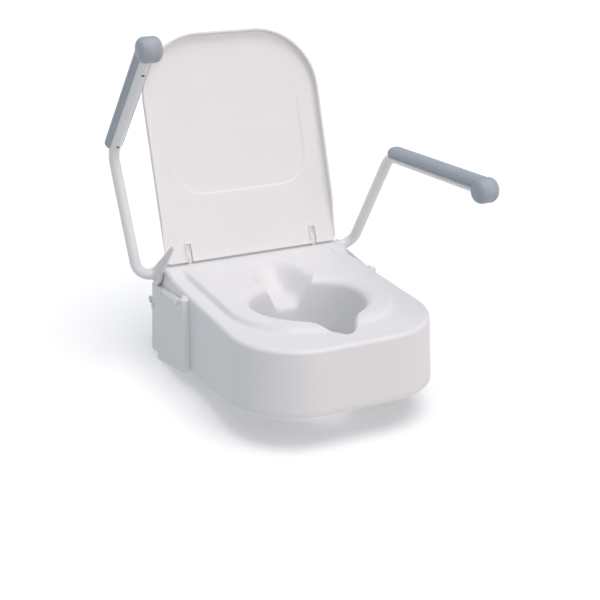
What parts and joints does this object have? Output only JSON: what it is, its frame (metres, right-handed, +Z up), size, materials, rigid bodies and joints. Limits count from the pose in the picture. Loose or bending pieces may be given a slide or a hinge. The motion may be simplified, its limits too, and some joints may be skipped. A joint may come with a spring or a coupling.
{
  "type": "raised toilet seat",
  "caption": "White raised toilet seat with a keyhole opening, a hinged lid and fold-up padded arms, on a bracket that clamps to the bowl rim and sets the height.",
  "frame": {"origin": "on the bowl rim, at the underside of the mounting bracket, midway between the fixing bolts", "axes": "+Z up, +Y to the rear of the bowl, +X to the right as seen from the front"},
  "size_m": [0.5504, 0.6076, 0.669],
  "materials": {
    "white_plastic": "satin white moulding",
    "white_paint": "white powder coat",
    "grey_pad": "matt blue-grey",
    "grey_nylon": "matt light grey",
    "black_rubber": "matt black",
    "zinc_steel": "zinc plated"
  },
  "bodies": {
    "bracket": {"mounting_bracket": "white_plastic", "left_fixing_bolt": "zinc_steel", "right_fixing_bolt": "zinc_steel", "left_fixing_washer": "zinc_steel", "right_fixing_washer": "zinc_steel", "left_rubber_cone": "black_rubber", "right_rubber_cone": "black_rubber"},
    "seat": {"seat_shell": "white_plastic", "left_side_cheek": "white_plastic", "right_side_cheek": "white_plastic", "left_height_rail": "white_plastic", "right_height_rail": "white_plastic", "left_height_rail_screw_upper": "zinc_steel", "right_height_rail_screw_upper": "zinc_steel", "left_height_rail_screw_lower": "zinc_steel", "right_height_rail_screw_lower": "zinc_steel", "left_cheek_screw": "zinc_steel", "right_cheek_screw": "zinc_steel", "left_pivot_block": "white_plastic", "right_pivot_block": "white_plastic", "left_pivot_bush": "grey_nylon", "right_pivot_bush": "grey_nylon", "left_lid_post": "white_plastic", "right_lid_post": "white_plastic", "left_lid_post_nut": "grey_nylon", "right_lid_post_nut": "grey_nylon", "left_front_foot": "white_plastic", "right_front_foot": "white_plastic", "left_foot_pad": "black_rubber", "right_foot_pad": "black_rubber"},
    "lid": {"lid_shell": "white_plastic", "left_lid_pin": "zinc_steel", "right_lid_pin": "zinc_steel"},
    "left_arm": {"left_arm_tube": "white_paint", "left_arm_collar": "white_plastic", "left_stop_lever": "white_plastic", "left_pivot_pin": "zinc_steel", "left_pivot_nut": "zinc_steel", "left_arm_pad": "grey_pad", "left_end_knob": "grey_pad", "left_pad_screw_rear": "zinc_steel", "left_pad_screw_front": "zinc_steel"},
    "right_arm": {"right_arm_tube": "white_paint", "right_arm_collar": "white_plastic", "right_stop_lever": "white_plastic", "right_pivot_pin": "zinc_steel", "right_pivot_nut": "zinc_steel", "right_arm_pad": "grey_pad", "right_end_knob": "grey_pad", "right_pad_screw_rear": "zinc_steel", "right_pad_screw_front": "zinc_steel"},
    "left_latch": {"left_height_latch": "white_plastic"},
    "right_latch": {"right_height_latch": "white_plastic"},
    "left_nut": {"left_wing_nut": "grey_nylon"},
    "right_nut": {"right_wing_nut": "grey_nylon"}
  },
  "joints": [
    {"name": "height_slide", "type": "slide", "parent": "bracket", "child": "seat", "axis": [0, 0, 1], "range_m": [0, 0.05]},
    {"name": "lid_hinge", "type": "hinge", "parent": "seat", "child": "lid", "pos_m": [0, 0.0051, 0.1275], "axis": [1, 0, 0], "range_deg": [0, 109.5]},
    {"name": "right_arm_pivot", "type": "hinge", "parent": "seat", "child": "right_arm", "pos_m": [0, 0.0208, 0.096], "axis": [-1, 0, 0], "range_deg": [0, 55]},
    {"name": "left_arm_pivot", "type": "hinge", "parent": "seat", "child": "left_arm", "pos_m": [0, 0.0208, 0.096], "axis": [-1, 0, 0], "range_deg": [-42.3, 12.7]},
    {"name": "left_latch_slide", "type": "slide", "parent": "bracket", "child": "left_latch", "axis": [1, 0, 0], "range_m": [0, 0.006], "stiffness_N_per_m": 300, "springref_m": -0.004},
    {"name": "right_latch_slide", "type": "slide", "parent": "bracket", "child": "right_latch", "axis": [-1, 0, 0], "range_m": [0, 0.006], "stiffness_N_per_m": 300, "springref_m": -0.004},
    {"name": "left_nut_turn", "type": "hinge", "parent": "bracket", "child": "left_nut", "pos_m": [-0.0775, 0, -0.037], "axis": [0, 0, 1], "continuous": true},
    {"name": "right_nut_turn", "type": "hinge", "parent": "bracket", "child": "right_nut", "pos_m": [0.0775, 0, -0.037], "axis": [0, 0, 1], "continuous": true}
  ]
}
